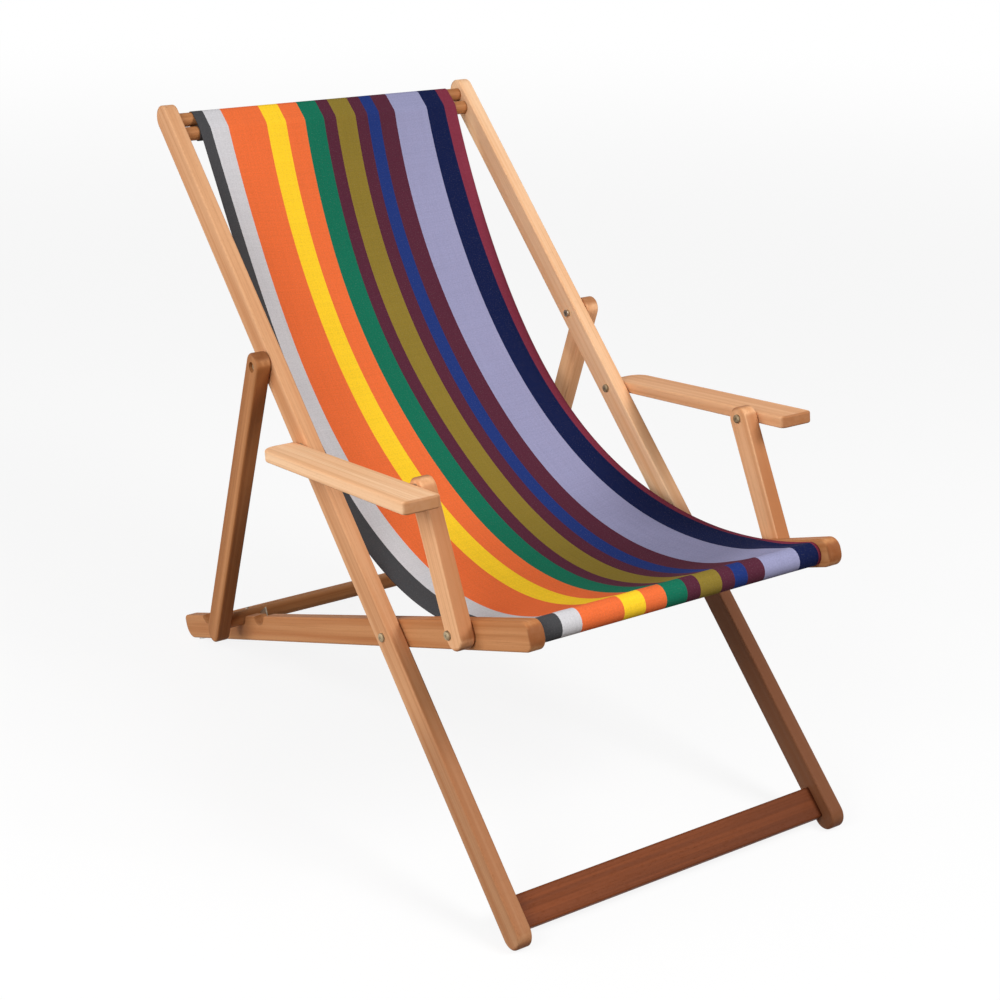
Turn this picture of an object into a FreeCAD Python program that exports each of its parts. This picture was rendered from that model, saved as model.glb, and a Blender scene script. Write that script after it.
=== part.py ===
import FreeCAD, Part
import math
import os
from collections import defaultdict
from types import SimpleNamespace

import Sketcher
from FreeCAD import Placement, Rotation, Vector

# Folding deck chair with a fabric sling, armrests and a four-notch recline rack.
# Millimetres and degrees. X runs across the chair, the front is -Y and up is +Z.
# The origin lies on the floor, midway between the sides and below the main pivots.

SIZES = {
    # The layers of boards on each side, from the inside outwards
    "width_over_stiles": 570,
    "board_thickness": 23,
    "layer_gap": 1.5,
    "running_gap": 0.2,
    "edge_radius": 3,
    # The two long back stiles
    "stile_depth": 40,
    "stile_slope": 41.2,
    "stile_below_pivot": 456,
    "stile_above_pivot": 940,
    "top_dowel_radius": 11,
    "top_dowel_from_end": 27,
    "top_dowel_spacing": 28,
    "crossboard_from_foot": 44,
    "crossboard_width": 46,
    "crossboard_thickness": 17,
    "crossboard_pin_radius": 4,
    "crossboard_pin_spacing": 24,
    "crossboard_pin_reach": 16,
    # The two seat rails
    "rail_depth": 40,
    "rail_behind_pivot": 782,
    "rail_ahead_of_pivot": 345,
    "rail_front_radius": 17,
    "rail_heel_radius": 25,
    "rail_top_radius": 8,
    "front_dowel_from_end": 34,
    "front_dowel_radius": 13,
    "front_tenon_radius": 10,
    "rear_dowel_from_end": 46,
    "rear_dowel_radius": 12,
    "socket_depth": 16,
    "socket_clearance": 0.05,
    # The recline rack
    "first_notch": 465,
    "notch_pitch": 71.5,
    "notch_count": 4,
    "notch_in_use": 2,
    "notch_radius": 20,
    "notch_depth": 15,
    "keeper_count": 2,
    "keeper_overhang": 0.5,
    "keeper_rise": 10,
    "keeper_heel_rise": 2.5,
    "keeper_length": 23,
    "keeper_drop": 30,
    "keeper_thickness": 2,
    "keeper_screw_radius": 1.6,
    "keeper_screw_length": 14,
    "keeper_screw_head_radius": 3.5,
    "keeper_screw_head_height": 1.8,
    # The glides under the heels
    "glide_from_end": 36,
    "glide_radius": 6,
    "glide_height": 3.5,
    "glide_nail_radius": 1.2,
    "glide_nail_length": 11,
    # The prop frame
    "prop_depth": 36,
    "prop_pivot_height": 453.8,
    "prop_above_pivot": 22,
    "prop_below_dowel": 33,
    "prop_dowel_radius": 12,
    "dowel_seat_gap": 0.3,
    "prop_counterbore_radius": 8,
    "prop_counterbore_depth": 8,
    # The armrests and their struts
    "arm_pivot_height": 306.7,
    "arm_length": 410,
    "arm_behind_pivot": 20,
    "arm_width": 58,
    "arm_thickness": 17.5,
    "arm_rear_radius": 25,
    "arm_front_radius": 9,
    "arm_reach": 320,
    "arm_bush_radius": 5,
    "arm_bush_length": 18,
    "strut_depth": 37,
    "strut_thickness": 23,
    "strut_reach": 192.4,
    "strut_setback": 10,
    "strut_below_pivot": 23,
    "strut_above_pivot": 17,
    "strut_foot_ahead": 186,
    "strut_foot_above": 6,
    # The pivot bolts
    "bolt_radius": 3,
    "bolt_clearance": 0.05,
    "bolt_head_radius": 6.5,
    "bolt_head_height": 4,
    "bolt_head_ease": 2.4,
    "nut_radius": 5.5,
    "nut_height": 5,
    "washer_radius": 9,
    # The sling
    "sling_thickness": 1.2,
    "sling_side_gap": 0.5,
    "sling_layer_gap": 0.4,
    "sling_roll_quarters": 6,
    "sling_left_top_slope": 52.3,
    "sling_left_front_slope": 22,
    "sling_left_sag_radius": 420,
    "sling_middle_top_slope": 65,
    "sling_middle_front_slope": 27.5,
    "sling_middle_sag_radius": 625,
    "sling_right_top_slope": 59.7,
    "sling_right_front_slope": 17.1,
    "sling_right_sag_radius": 645,
}

doc = FreeCAD.newDocument("SlingDeckChair")
sheet = doc.addObject("Spreadsheet::Sheet", "Sizes")
for row, (name, number) in enumerate(SIZES.items(), 1):
    sheet.set(f"A{row}", name)
    sheet.set(f"B{row}", str(number))
    sheet.setAlias(f"B{row}", name)
doc.recompute()


class Size:
    """A length in millimetres, with the sheet expression that gives it."""

    def __init__(self, value, text=None):
        self.value = float(value)
        self.text = text or repr(float(value))

    def combined(self, other, sign, value):
        return Size(value, f"({self.text} {sign} {other.text})")

    def __add__(self, other):
        other = as_size(other)
        return self.combined(other, "+", self.value + other.value)

    def __sub__(self, other):
        other = as_size(other)
        return self.combined(other, "-", self.value - other.value)

    def __mul__(self, other):
        other = as_size(other)
        return self.combined(other, "*", self.value * other.value)

    def __truediv__(self, other):
        other = as_size(other)
        return self.combined(other, "/", self.value / other.value)

    def __neg__(self):
        return Size(-self.value, f"(0 - {self.text})")

    def __float__(self):
        return self.value


def as_size(item):
    return item if isinstance(item, Size) else Size(item)


S = SimpleNamespace(**{name: Size(sheet.get(name), f"Sizes.{name}") for name in SIZES})
ZERO = Size(0)
SIDES = {"left": -1, "right": 1}
TOUCHING = 0.001
LEAST_CUT = 1
QUARTER_TURN = 90
HALF_TURN = 180
WIDEST_ARC = 120
ACROSS = Rotation(Vector(0, 1, 0), QUARTER_TURN)

# Where each layer of boards starts, measured from the chair's middle plane
stile_outer = S.width_over_stiles / 2
stile_inner = stile_outer - S.board_thickness
rail_outer = stile_inner - S.layer_gap
rail_inner = rail_outer - S.board_thickness
prop_inner = stile_outer + S.layer_gap
prop_outer = prop_inner + S.board_thickness


class Line:
    """A board's own axes in the side view: a point, a slope, and places along and above it."""

    def __init__(self, y, z, slope):
        self.y = y
        self.z = z
        self.slope = slope

    def at(self, along, above=0.0):
        angle = math.radians(self.slope)
        y = self.y + float(along) * math.cos(angle) - float(above) * math.sin(angle)
        z = self.z + float(along) * math.sin(angle) + float(above) * math.cos(angle)
        return y, z


def slope_between(start, end):
    return math.degrees(math.atan2(end[1] - start[1], end[0] - start[0]))


# The crossed frames: the rounded feet of the stiles and the heels of the rails meet the floor
stile_foot_reach = float(S.stile_below_pivot - S.stile_depth / 2)
pivot_height = float(S.stile_depth / 2)
pivot_height += stile_foot_reach * math.sin(math.radians(float(S.stile_slope)))
heel_back = float(S.rail_behind_pivot - S.rail_heel_radius)
heel_up = float(S.rail_heel_radius - S.rail_depth / 2)
heel_drop = (pivot_height - float(S.rail_heel_radius)) / math.hypot(heel_back, heel_up)
rail_slope = math.degrees(math.atan2(heel_up, heel_back) + math.asin(heel_drop))
stile = Line(0, pivot_height, float(S.stile_slope))
rail = Line(0, pivot_height, -rail_slope)

# The prop runs from its pivot on the stile to its dowel, which sits in a notch of the rail
notch_floor = S.rail_depth / 2 - S.notch_depth
used_notch = S.first_notch + S.notch_pitch * (S.notch_in_use - 1)
prop_pivot = stile.at(S.prop_pivot_height)
dowel_seat = rail.at(used_notch, notch_floor + S.prop_dowel_radius + S.dowel_seat_gap)
prop_reach = math.dist(prop_pivot, dowel_seat)
prop = Line(*prop_pivot, slope_between(dowel_seat, prop_pivot))

# The armrest and its strut meet where their reaches cross, ahead of the stile
arm_pivot = stile.at(S.arm_pivot_height)
strut_foot = rail.at(-S.strut_foot_ahead, S.strut_foot_above)
pivot_span = math.dist(arm_pivot, strut_foot)
lean = (float(S.arm_reach) ** 2 + pivot_span ** 2 - float(S.strut_reach) ** 2)
lean = math.degrees(math.acos(lean / (2 * float(S.arm_reach) * pivot_span)))
arm_slope = slope_between(arm_pivot, strut_foot) - lean + HALF_TURN
arm = Line(*arm_pivot, arm_slope)
arm_joint = arm.at(-S.arm_reach)
strut_rise = math.sqrt(float(S.strut_reach) ** 2 - float(S.strut_setback) ** 2)
strut_twist = math.degrees(math.atan2(float(S.strut_setback), strut_rise))
strut = Line(*strut_foot, slope_between(strut_foot, arm_joint) - strut_twist)


def new_body(name, line, x=0.0):
    """An empty body whose own axes lie along one board's line, x from the middle plane."""
    body = doc.addObject("PartDesign::Body", name)
    body.Label = name
    tilt = Rotation(Vector(1, 0, 0), line.slope)
    body.Placement = Placement(Vector(float(x), line.y, line.z), tilt)
    return body


def new_sketch(body, name, role="YZ_Plane", offset=ZERO):
    sketch = body.newObject("Sketcher::SketchObject", f"{body.Name}_{name}")
    plane = next(item for item in body.Origin.OriginFeatures if item.Role == role)
    sketch.AttachmentSupport = [(plane, "")]
    sketch.MapMode = "FlatFace"
    if offset.value:
        sketch.AttachmentOffset = Placement(Vector(0, 0, offset.value), Rotation())
        sketch.setExpression("AttachmentOffset.Base.z", offset.text)
    return sketch


def bind(sketch, kind, first, last, size):
    """Ties one point's place along a sketch axis, or a radius, to the sheet."""
    if kind == "Radius":
        index = sketch.addConstraint(Sketcher.Constraint(kind, first, abs(size.value)))
        sketch.setExpression(f"Constraints[{index}]", size.text)
        return
    if size.value < 0:
        first, last, size = last, first, -size
    index = sketch.addConstraint(Sketcher.Constraint(kind, *first, *last, size.value))
    if size is not ZERO:
        sketch.setExpression(f"Constraints[{index}]", size.text)


def place_point(sketch, point, across, up):
    bind(sketch, "DistanceX", (-1, 1), point, as_size(across))
    bind(sketch, "DistanceY", (-1, 1), point, as_size(up))


def circle_sketch(body, name, centres, radius, role="YZ_Plane", offset=ZERO):
    sketch = new_sketch(body, name, role, offset)
    for across, up in centres:
        centre = Vector(float(across), float(up), 0)
        index = sketch.addGeometry(Part.Circle(centre, Vector(0, 0, 1), float(radius)))
        place_point(sketch, (index, 3), across, up)
        bind(sketch, "Radius", index, None, radius)
    return sketch


def outline_sketch(body, name, corners, role="YZ_Plane", offset=ZERO):
    """A closed outline of straight sides, each corner placed from the body's origin."""
    sketch = new_sketch(body, name, role, offset)
    points = [Vector(float(across), float(up), 0) for across, up in corners]
    count = len(points)
    for index in range(count):
        sketch.addGeometry(Part.LineSegment(points[index], points[(index + 1) % count]))
    for index, (across, up) in enumerate(corners):
        previous = (index - 1) % count
        sketch.addConstraint(Sketcher.Constraint("Coincident", previous, 2, index, 1))
        place_point(sketch, (index, 1), across, up)
    return sketch


def slot_sketch(body, name, back, ahead, depth, rise=ZERO):
    """A board's outline with half-round ends, from -back to +ahead of the body's origin."""
    sketch = new_sketch(body, name)
    half = depth / 2
    start = -(back - half)
    end = ahead - half
    low, high = float(rise - half), float(rise + half)
    left, right = start.value, end.value
    up = Vector(0, 0, 1)
    quarter = math.pi / 2
    sketch.addGeometry(Part.LineSegment(Vector(left, low, 0), Vector(right, low, 0)))
    end_circle = Part.Circle(Vector(right, rise.value, 0), up, half.value)
    sketch.addGeometry(Part.ArcOfCircle(end_circle, -quarter, quarter))
    sketch.addGeometry(Part.LineSegment(Vector(right, high, 0), Vector(left, high, 0)))
    start_circle = Part.Circle(Vector(left, rise.value, 0), up, half.value)
    sketch.addGeometry(Part.ArcOfCircle(start_circle, quarter, 3 * quarter))
    for first, second, third, fourth in ((0, 2, 1, 1), (1, 2, 2, 1), (2, 2, 3, 1), (3, 2, 0, 1)):
        sketch.addConstraint(Sketcher.Constraint("Tangent", first, second, third, fourth))
    place_point(sketch, (1, 3), end, rise)
    bind(sketch, "DistanceX", (-1, 1), (3, 3), start)
    bind(sketch, "DistanceY", (-1, 1), (3, 3), rise)
    bind(sketch, "Radius", 1, None, half)
    return sketch


def pad(body, sketch, length, backwards=False, midplane=False):
    feature = body.newObject("PartDesign::Pad", f"{sketch.Name}_pad")
    feature.Profile = sketch
    feature.setExpression("Length", length.text)
    feature.Reversed = backwards
    feature.Midplane = midplane
    sketch.Visibility = False
    doc.recompute()
    return feature


def pocket(body, sketch, length, backwards=False):
    """Cuts a sketch into the body and makes sure that it took something away."""
    before = body.Shape.Volume
    feature = body.newObject("PartDesign::Pocket", f"{sketch.Name}_pocket")
    feature.Profile = sketch
    feature.setExpression("Length", length.text)
    feature.Reversed = backwards
    doc.recompute()
    if before - body.Shape.Volume < LEAST_CUT:
        raise RuntimeError(f"{feature.Name} cut nothing")
    return feature


def round_edges(body, name, radius, wanted):
    """Rounds the edges of the body for which wanted(edge) is true."""
    feature = body.newObject("PartDesign::Fillet", f"{body.Name}_{name}")
    base = feature.BaseFeature
    names = [f"Edge{index}" for index, edge in enumerate(base.Shape.Edges, 1) if wanted(edge)]
    feature.Base = (base, names)
    feature.setExpression("Radius", radius.text)
    doc.recompute()
    return feature


def lies_at(edge, axis, place):
    """True where the whole edge lies at one coordinate along the X, Y or Z axis."""
    box = edge.BoundBox
    low = getattr(box, f"{axis}Min")
    high = getattr(box, f"{axis}Max")
    return abs(low - float(place)) < TOUCHING and abs(high - float(place)) < TOUCHING


def edges_at(**places):
    """A test that an edge lies, on each axis named, at one of the places given for it."""
    def test(edge):
        return all(any(lies_at(edge, axis, place) for place in choices)
                   for axis, choices in places.items())

    return test


def round_faces(body, thickness, side):
    """Eases the edges round a board's two broad faces."""
    round_edges(body, "edges", S.edge_radius, edges_at(X=(ZERO, thickness * side)))


def drill(body, name, centres, radius, depth, outward):
    """Drills from the board's inner face towards its outer one."""
    sketch = circle_sketch(body, name, centres, radius)
    pocket(body, sketch, depth, backwards=outward > 0)


bolt_hole = S.bolt_radius + S.bolt_clearance

# The back stiles: half-round ends, three bolt holes, sockets for the dowels and the crossboard
upper_dowel = S.stile_above_pivot - S.top_dowel_from_end
lower_dowel = upper_dowel - S.top_dowel_spacing
crossboard_middle = -(S.stile_below_pivot - S.crossboard_from_foot)
pin_places = [
    (crossboard_middle - S.crossboard_pin_spacing / 2, -(S.crossboard_thickness / 2)),
    (crossboard_middle + S.crossboard_pin_spacing / 2, -(S.crossboard_thickness / 2)),
]
for side_name, side in SIDES.items():
    body = new_body(f"back_stile_{side_name}", stile, side * stile_inner.value)
    outline = slot_sketch(body, "outline", S.stile_below_pivot, S.stile_above_pivot, S.stile_depth)
    pad(body, outline, S.board_thickness, backwards=side < 0)
    round_faces(body, S.board_thickness, side)
    pivots = [(ZERO, ZERO), (S.arm_pivot_height, ZERO), (S.prop_pivot_height, ZERO)]
    drill(body, "bolt_holes", pivots, bolt_hole, S.board_thickness, side)
    dowels = [(upper_dowel, ZERO), (lower_dowel, ZERO)]
    socket = S.top_dowel_radius + S.socket_clearance
    drill(body, "dowel_sockets", dowels, socket, S.socket_depth, side)
    pin_hole = S.crossboard_pin_radius + S.socket_clearance
    drill(body, "pin_sockets", pin_places, pin_hole, S.crossboard_pin_reach, side)

# The seat rails: rounded ends, four notches in the top edge and dowel sockets inside
front_dowel_place = -(S.rail_ahead_of_pivot - S.front_dowel_from_end)
rear_dowel_place = S.rail_behind_pivot - S.rear_dowel_from_end
glide_place = S.rail_behind_pivot - S.glide_from_end
keeper_places = [S.first_notch + S.notch_pitch * index for index in range(int(S.keeper_count.value))]
half_rail = S.rail_depth / 2
keeper_front = S.notch_radius - S.keeper_overhang
keeper_screw = keeper_front + S.keeper_length / 2
for side_name, side in SIDES.items():
    body = new_body(f"seat_rail_{side_name}", rail, side * rail_inner.value)
    front, rear = -S.rail_ahead_of_pivot, S.rail_behind_pivot
    corners = [(front, -half_rail), (rear, -half_rail), (rear, half_rail), (front, half_rail)]
    pad(body, outline_sketch(body, "outline", corners), S.board_thickness, backwards=side < 0)
    ends = [
        ("front_ends", S.rail_front_radius, front, (-half_rail, half_rail)),
        ("heel", S.rail_heel_radius, rear, (-half_rail,)),
        ("rear_top", S.rail_top_radius, rear, (half_rail,)),
    ]
    for name, radius, end, heights in ends:
        round_edges(body, name, radius, edges_at(Y=(end,), Z=heights))
    round_faces(body, S.board_thickness, side)
    notch_centre = notch_floor + S.notch_radius
    notch = circle_sketch(body, "notch", [(S.first_notch, notch_centre)], S.notch_radius)
    first = pocket(body, notch, S.board_thickness, backwards=side > 0)
    notches = body.newObject("PartDesign::LinearPattern", f"{body.Name}_notches")
    notches.Originals = [first]
    notches.Direction = (notch, ["H_Axis"])
    notches.setExpression("Length", (S.notch_pitch * (S.notch_count - 1)).text)
    notches.setExpression("Occurrences", S.notch_count.text)
    body.Tip = notches
    doc.recompute()
    bolts = [(ZERO, ZERO), (-S.strut_foot_ahead, S.strut_foot_above)]
    drill(body, "bolt_holes", bolts, bolt_hole, S.board_thickness, side)
    tenon_hole = S.front_tenon_radius + S.socket_clearance
    drill(body, "front_socket", [(front_dowel_place, ZERO)], tenon_hole, S.socket_depth, side)
    rear_hole = S.rear_dowel_radius + S.socket_clearance
    drill(body, "rear_socket", [(rear_dowel_place, ZERO)], rear_hole, S.socket_depth, side)
    screws = [(place + keeper_screw, ZERO) for place in keeper_places]
    screw_hole = S.keeper_screw_radius + S.socket_clearance
    drill(body, "screw_holes", screws, screw_hole, S.keeper_screw_length, side)
    nail = [(S.board_thickness * side / 2, glide_place)]
    nail_hole = S.glide_nail_radius + S.socket_clearance
    sketch = circle_sketch(body, "glide_hole", nail, nail_hole, "XY_Plane", -half_rail)
    pocket(body, sketch, S.glide_nail_length, backwards=True)

# The prop struts: a pivot hole with a counterbore outside and a dowel socket inside
for side_name, side in SIDES.items():
    body = new_body(f"prop_strut_{side_name}", prop, side * prop_inner.value)
    reach = Size(prop_reach)
    below = reach + S.prop_below_dowel
    outline = slot_sketch(body, "outline", below, S.prop_above_pivot, S.prop_depth)
    pad(body, outline, S.board_thickness, backwards=side < 0)
    round_faces(body, S.board_thickness, side)
    drill(body, "bolt_hole", [(ZERO, ZERO)], bolt_hole, S.board_thickness, side)
    dowel_hole = S.prop_dowel_radius + S.socket_clearance
    drill(body, "dowel_socket", [(-reach, ZERO)], dowel_hole, S.socket_depth, side)
    outer_face = S.board_thickness * side
    radius = S.prop_counterbore_radius
    counterbore = circle_sketch(body, "counterbore", [(ZERO, ZERO)], radius, offset=outer_face)
    pocket(body, counterbore, S.prop_counterbore_depth, backwards=side < 0)

# The armrests: flat boards outside the stiles, with a threaded bush for each bolt
bush_hole = S.arm_bush_radius + S.socket_clearance
for side_name, side in SIDES.items():
    body = new_body(f"armrest_{side_name}", arm, side * prop_inner.value)
    outer = S.arm_width * side
    rear = S.arm_behind_pivot
    front = S.arm_behind_pivot - S.arm_length
    corners = [(ZERO, front), (outer, front), (outer, rear), (ZERO, rear)]
    pad(body, outline_sketch(body, "outline", corners, "XY_Plane"), S.arm_thickness, midplane=True)
    half_arm = S.arm_thickness / 2
    round_edges(body, "rear_corner", S.arm_rear_radius, edges_at(X=(outer,), Y=(rear,)))
    round_edges(body, "front_corners", S.arm_front_radius, edges_at(X=(ZERO, outer), Y=(front,)))
    round_edges(body, "edges", S.edge_radius, edges_at(Z=(half_arm, -half_arm)))
    holes = [(ZERO, ZERO), (-S.arm_reach, ZERO)]
    drill(body, "bush_holes", holes, bush_hole, S.arm_bush_length, side)

# The armrest struts: each stands on a bolt in the rail and carries the armrest's front
for side_name, side in SIDES.items():
    body = new_body(f"arm_strut_{side_name}", strut, side * stile_inner.value)
    top = Size(strut_rise)
    ahead = top + S.strut_above_pivot
    outline = slot_sketch(body, "outline", S.strut_below_pivot, ahead, S.strut_depth, S.strut_setback)
    pad(body, outline, S.strut_thickness, backwards=side < 0)
    round_faces(body, S.strut_thickness, side)
    bolts = [(ZERO, ZERO), (top, S.strut_setback)]
    drill(body, "bolt_holes", bolts, bolt_hole, S.strut_thickness, side)

# The crossboard near the stiles' feet, with two wooden pins in each end
body = new_body("back_crossboard", stile)
low = crossboard_middle - S.crossboard_width / 2
high = crossboard_middle + S.crossboard_width / 2
behind = -S.crossboard_thickness
corners = [(low, behind), (high, behind), (high, ZERO), (low, ZERO)]
pad(body, outline_sketch(body, "outline", corners), stile_inner * 2, midplane=True)
round_edges(body, "edges", S.edge_radius, edges_at(Y=(low, high), Z=(behind, ZERO)))
for side in SIDES.values():
    end = stile_inner * side
    name = "pin_holes_right" if side > 0 else "pin_holes_left"
    sketch = circle_sketch(body, name, pin_places, pin_hole, offset=end)
    pocket(body, sketch, S.crossboard_pin_reach, backwards=side < 0)


def cylinder(name, line, place, x, length, radius):
    """A round piece that lies across the chair at a place on a board, from x towards +X."""
    piece = doc.addObject("Part::Cylinder", name)
    piece.setExpression("Radius", radius.text)
    piece.setExpression("Height", length.text)
    piece.Placement = Placement(Vector(x.value, *line.at(*place)), ACROSS)
    piece.setExpression("Placement.Base.x", x.text)
    return piece


def fused(name, pieces):
    """One solid out of overlapping primitives."""
    whole = doc.addObject("Part::MultiFuse", name)
    whole.Shapes = pieces
    return whole


def group(name, pieces):
    """Like pieces kept as separate solids under one name."""
    whole = doc.addObject("Part::Compound", name)
    whole.Links = pieces
    return whole


def rod(name, line, along, radius, half_length):
    """A round piece across the whole chair, as far to the left as to the right."""
    return cylinder(name, line, (along, ZERO), -half_length, half_length * 2, radius)


def span(name, side, line, place, start, end, radius, bore=None):
    """A round piece on one side, between two distances from the middle plane."""
    low = start if side > 0 else -end
    if not bore:
        return cylinder(name, line, place, low, end - start, radius)
    ring = doc.addObject("Part::Cut", name)
    ring.Base = cylinder(f"{name}_disc", line, place, low, end - start, radius)
    ring.Tool = cylinder(f"{name}_bore", line, place, low, end - start, bore)
    return ring


def bolt_head(name, side, line, place, seat, crown):
    """A low round head: flat where it seats, with an eased rim at the crown."""
    start, end = sorted((seat, crown), key=float)
    disc = span(f"{name}_disc", side, line, place, start, end, S.bolt_head_radius)
    doc.recompute()
    at_crown = edges_at(X=(crown * side,))
    rim = [index for index, edge in enumerate(disc.Shape.Edges, 1) if at_crown(edge)]
    ease = float(S.bolt_head_ease)
    head = doc.addObject("Part::Fillet", name)
    head.Base = disc
    head.Edges = [(index, ease, ease) for index in rim]
    return head


def bolt(name, side, line, place, seat, tip):
    """A bolt whose head seats at one distance from the middle plane and whose shank ends at another."""
    height = S.bolt_head_height if seat.value > tip.value else -S.bolt_head_height
    head = bolt_head(f"{name}_head", side, line, place, seat, seat + height)
    start, end = sorted((seat + height / 2, tip), key=float)
    shank = span(f"{name}_shank", side, line, place, start, end, S.bolt_radius)
    return fused(name, [head, shank])


# The dowels that hold the frames together
rod("top_dowel_upper", stile, upper_dowel, S.top_dowel_radius, stile_inner + S.socket_depth)
rod("top_dowel_lower", stile, lower_dowel, S.top_dowel_radius, stile_inner + S.socket_depth)
rod("seat_rear_dowel", rail, rear_dowel_place, S.rear_dowel_radius, rail_inner + S.socket_depth)
rod("prop_dowel", prop, -prop_reach, S.prop_dowel_radius, prop_inner + S.socket_depth)
roller = rod("front_roller", rail, front_dowel_place, S.front_dowel_radius, rail_inner)
tenons = rod("front_tenons", rail, front_dowel_place, S.front_tenon_radius, rail_inner + S.socket_depth)
fused("seat_front_dowel", [roller, tenons])

# What comes in twos and fours: each name holds a list of separate solids
rows = defaultdict(list)
nut_bore = S.bolt_radius + S.bolt_clearance / 2
gap_less_play = S.layer_gap - S.running_gap
for side_name, side in SIDES.items():
    for index, place in enumerate(pin_places, 1):
        start = stile_inner - S.crossboard_pin_reach
        end = stile_inner + S.crossboard_pin_reach
        name = f"crossboard_pin_{side_name}_{index}"
        rows["crossboard_pins"].append(span(name, side, stile, place, start, end, S.crossboard_pin_radius))

    # The main pivot: the head lies on the stile and the nut inside the rail
    place = (ZERO, ZERO)
    washer_face = rail_outer + S.running_gap
    nut_face = rail_inner - S.running_gap
    tip = nut_face - S.nut_height
    rows["main_pivot_bolts"].append(bolt(f"main_bolt_{side_name}", side, stile, place, stile_outer, tip))
    rows["main_pivot_washers"].append(span(
        f"main_washer_{side_name}", side, stile, place, washer_face, stile_inner, S.washer_radius, bolt_hole))
    rows["main_pivot_nuts"].append(span(
        f"main_nut_{side_name}", side, stile, place, tip, nut_face, S.nut_radius, nut_bore))

    # The strut's foot: the bolt is fast in the rail and the strut turns on it
    place = (-S.strut_foot_ahead, S.strut_foot_above)
    strut_outer = stile_inner + S.strut_thickness
    seat = strut_outer + S.running_gap
    washer_face = rail_outer + gap_less_play
    tip = rail_inner - S.nut_height
    rows["strut_foot_bolts"].append(bolt(f"foot_bolt_{side_name}", side, rail, place, seat, tip))
    rows["strut_foot_washers"].append(span(
        f"foot_washer_{side_name}", side, rail, place, rail_outer, washer_face, S.washer_radius, bolt_hole))
    rows["strut_foot_nuts"].append(span(
        f"foot_nut_{side_name}", side, rail, place, tip, rail_inner, S.nut_radius, nut_bore))

    # The prop's pivot: the head is sunk in the prop and the nut lies inside the stile
    place = (ZERO, ZERO)
    sunk_face = prop_outer - S.prop_counterbore_depth
    washer_face = stile_outer + S.running_gap
    nut_face = stile_inner - S.running_gap
    tip = nut_face - S.nut_height
    rows["prop_pivot_bolts"].append(bolt(f"prop_bolt_{side_name}", side, prop, place, sunk_face, tip))
    rows["prop_pivot_washers"].append(span(
        f"prop_washer_{side_name}", side, prop, place, washer_face, prop_inner, S.washer_radius, bolt_hole))
    rows["prop_pivot_nuts"].append(span(
        f"prop_nut_{side_name}", side, prop, place, tip, nut_face, S.nut_radius, nut_bore))

    # The armrest's rear pivot: the bolt is fast in the stile and runs into the armrest's bush
    place = (S.arm_pivot_height, ZERO)
    washer_face = stile_outer + gap_less_play
    tip = prop_inner + S.arm_bush_length - S.running_gap
    rows["arm_pivot_bolts"].append(bolt(f"arm_bolt_{side_name}", side, stile, place, stile_inner, tip))
    rows["arm_pivot_washers"].append(span(
        f"arm_washer_{side_name}", side, stile, place, stile_outer, washer_face, S.washer_radius, bolt_hole))

    # The armrest's front joint: the bolt is fast in the strut and ends at the armrest's face
    place = (Size(strut_rise), S.strut_setback)
    tip = strut_outer + gap_less_play
    bolt(f"strut_top_bolt_{side_name}", side, strut, place, stile_inner, tip)
    span(f"strut_top_washer_{side_name}", side, strut, place, strut_outer, tip, S.washer_radius, bolt_hole)

    # The threaded bushes in the armrest, one at each end
    bush_end = prop_inner + S.arm_bush_length
    for index, along in enumerate((ZERO, -S.arm_reach), 1):
        name = f"arm_bush_{side_name}_{index}"
        rows[f"armrest_bushes_{side_name}"].append(span(
            name, side, arm, (along, ZERO), prop_inner, bush_end, S.arm_bush_radius, bolt_hole))

    # The steel keepers behind the front notches stop the prop dowel from jumping back
    head_face = rail_inner - S.keeper_thickness
    crown = head_face - S.keeper_screw_head_height
    root = crown + S.keeper_screw_head_height / 2
    screw_tip = rail_inner + S.keeper_screw_length - S.running_gap
    for index, notch_place in enumerate(keeper_places, 1):
        body = new_body(f"rack_keeper_{side_name}_{index}", rail, side * rail_inner.value)
        ahead = notch_place + keeper_front
        behind = ahead + S.keeper_length
        foot = half_rail - S.keeper_drop
        peak = half_rail + S.keeper_rise
        heel = half_rail + S.keeper_heel_rise
        corners = [(ahead, foot), (behind, foot), (behind, heel), (ahead, peak)]
        sketch = outline_sketch(body, "outline", corners)
        pad(body, sketch, S.keeper_thickness, backwards=side > 0)
        place = (notch_place + keeper_screw, ZERO)
        hole = circle_sketch(body, "hole", [place], screw_hole)
        pocket(body, hole, S.keeper_thickness, backwards=side < 0)
        rows["rack_keepers"].append(body)
        name = f"keeper_screw_{side_name}_{index}"
        head = span(f"{name}_head", side, rail, place, crown, head_face, S.keeper_screw_head_radius)
        shank = span(f"{name}_shank", side, rail, place, root, screw_tip, S.keeper_screw_radius)
        rows["rack_keeper_screws"].append(fused(name, [head, shank]))

    # The nailed glides under the rails' heels
    x = side * (rail_inner + S.board_thickness / 2).value
    down = Rotation(Vector(1, 0, 0), rail.slope + HALF_TURN)
    nail_top = S.glide_nail_length - S.running_gap
    disc = doc.addObject("Part::Cylinder", f"glide_disc_{side_name}")
    disc.setExpression("Radius", S.glide_radius.text)
    disc.setExpression("Height", S.glide_height.text)
    disc.Placement = Placement(Vector(x, *rail.at(glide_place, -half_rail)), down)
    nail = doc.addObject("Part::Cylinder", f"glide_nail_{side_name}")
    nail.setExpression("Radius", S.glide_nail_radius.text)
    nail.setExpression("Height", (nail_top + S.glide_height / 2).text)
    nail.Placement = Placement(Vector(x, *rail.at(glide_place, nail_top - half_rail)), down)
    rows["heel_glides"].append(fused(f"glide_{side_name}", [disc, nail]))

for name, pieces in rows.items():
    group(name, pieces)


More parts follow.
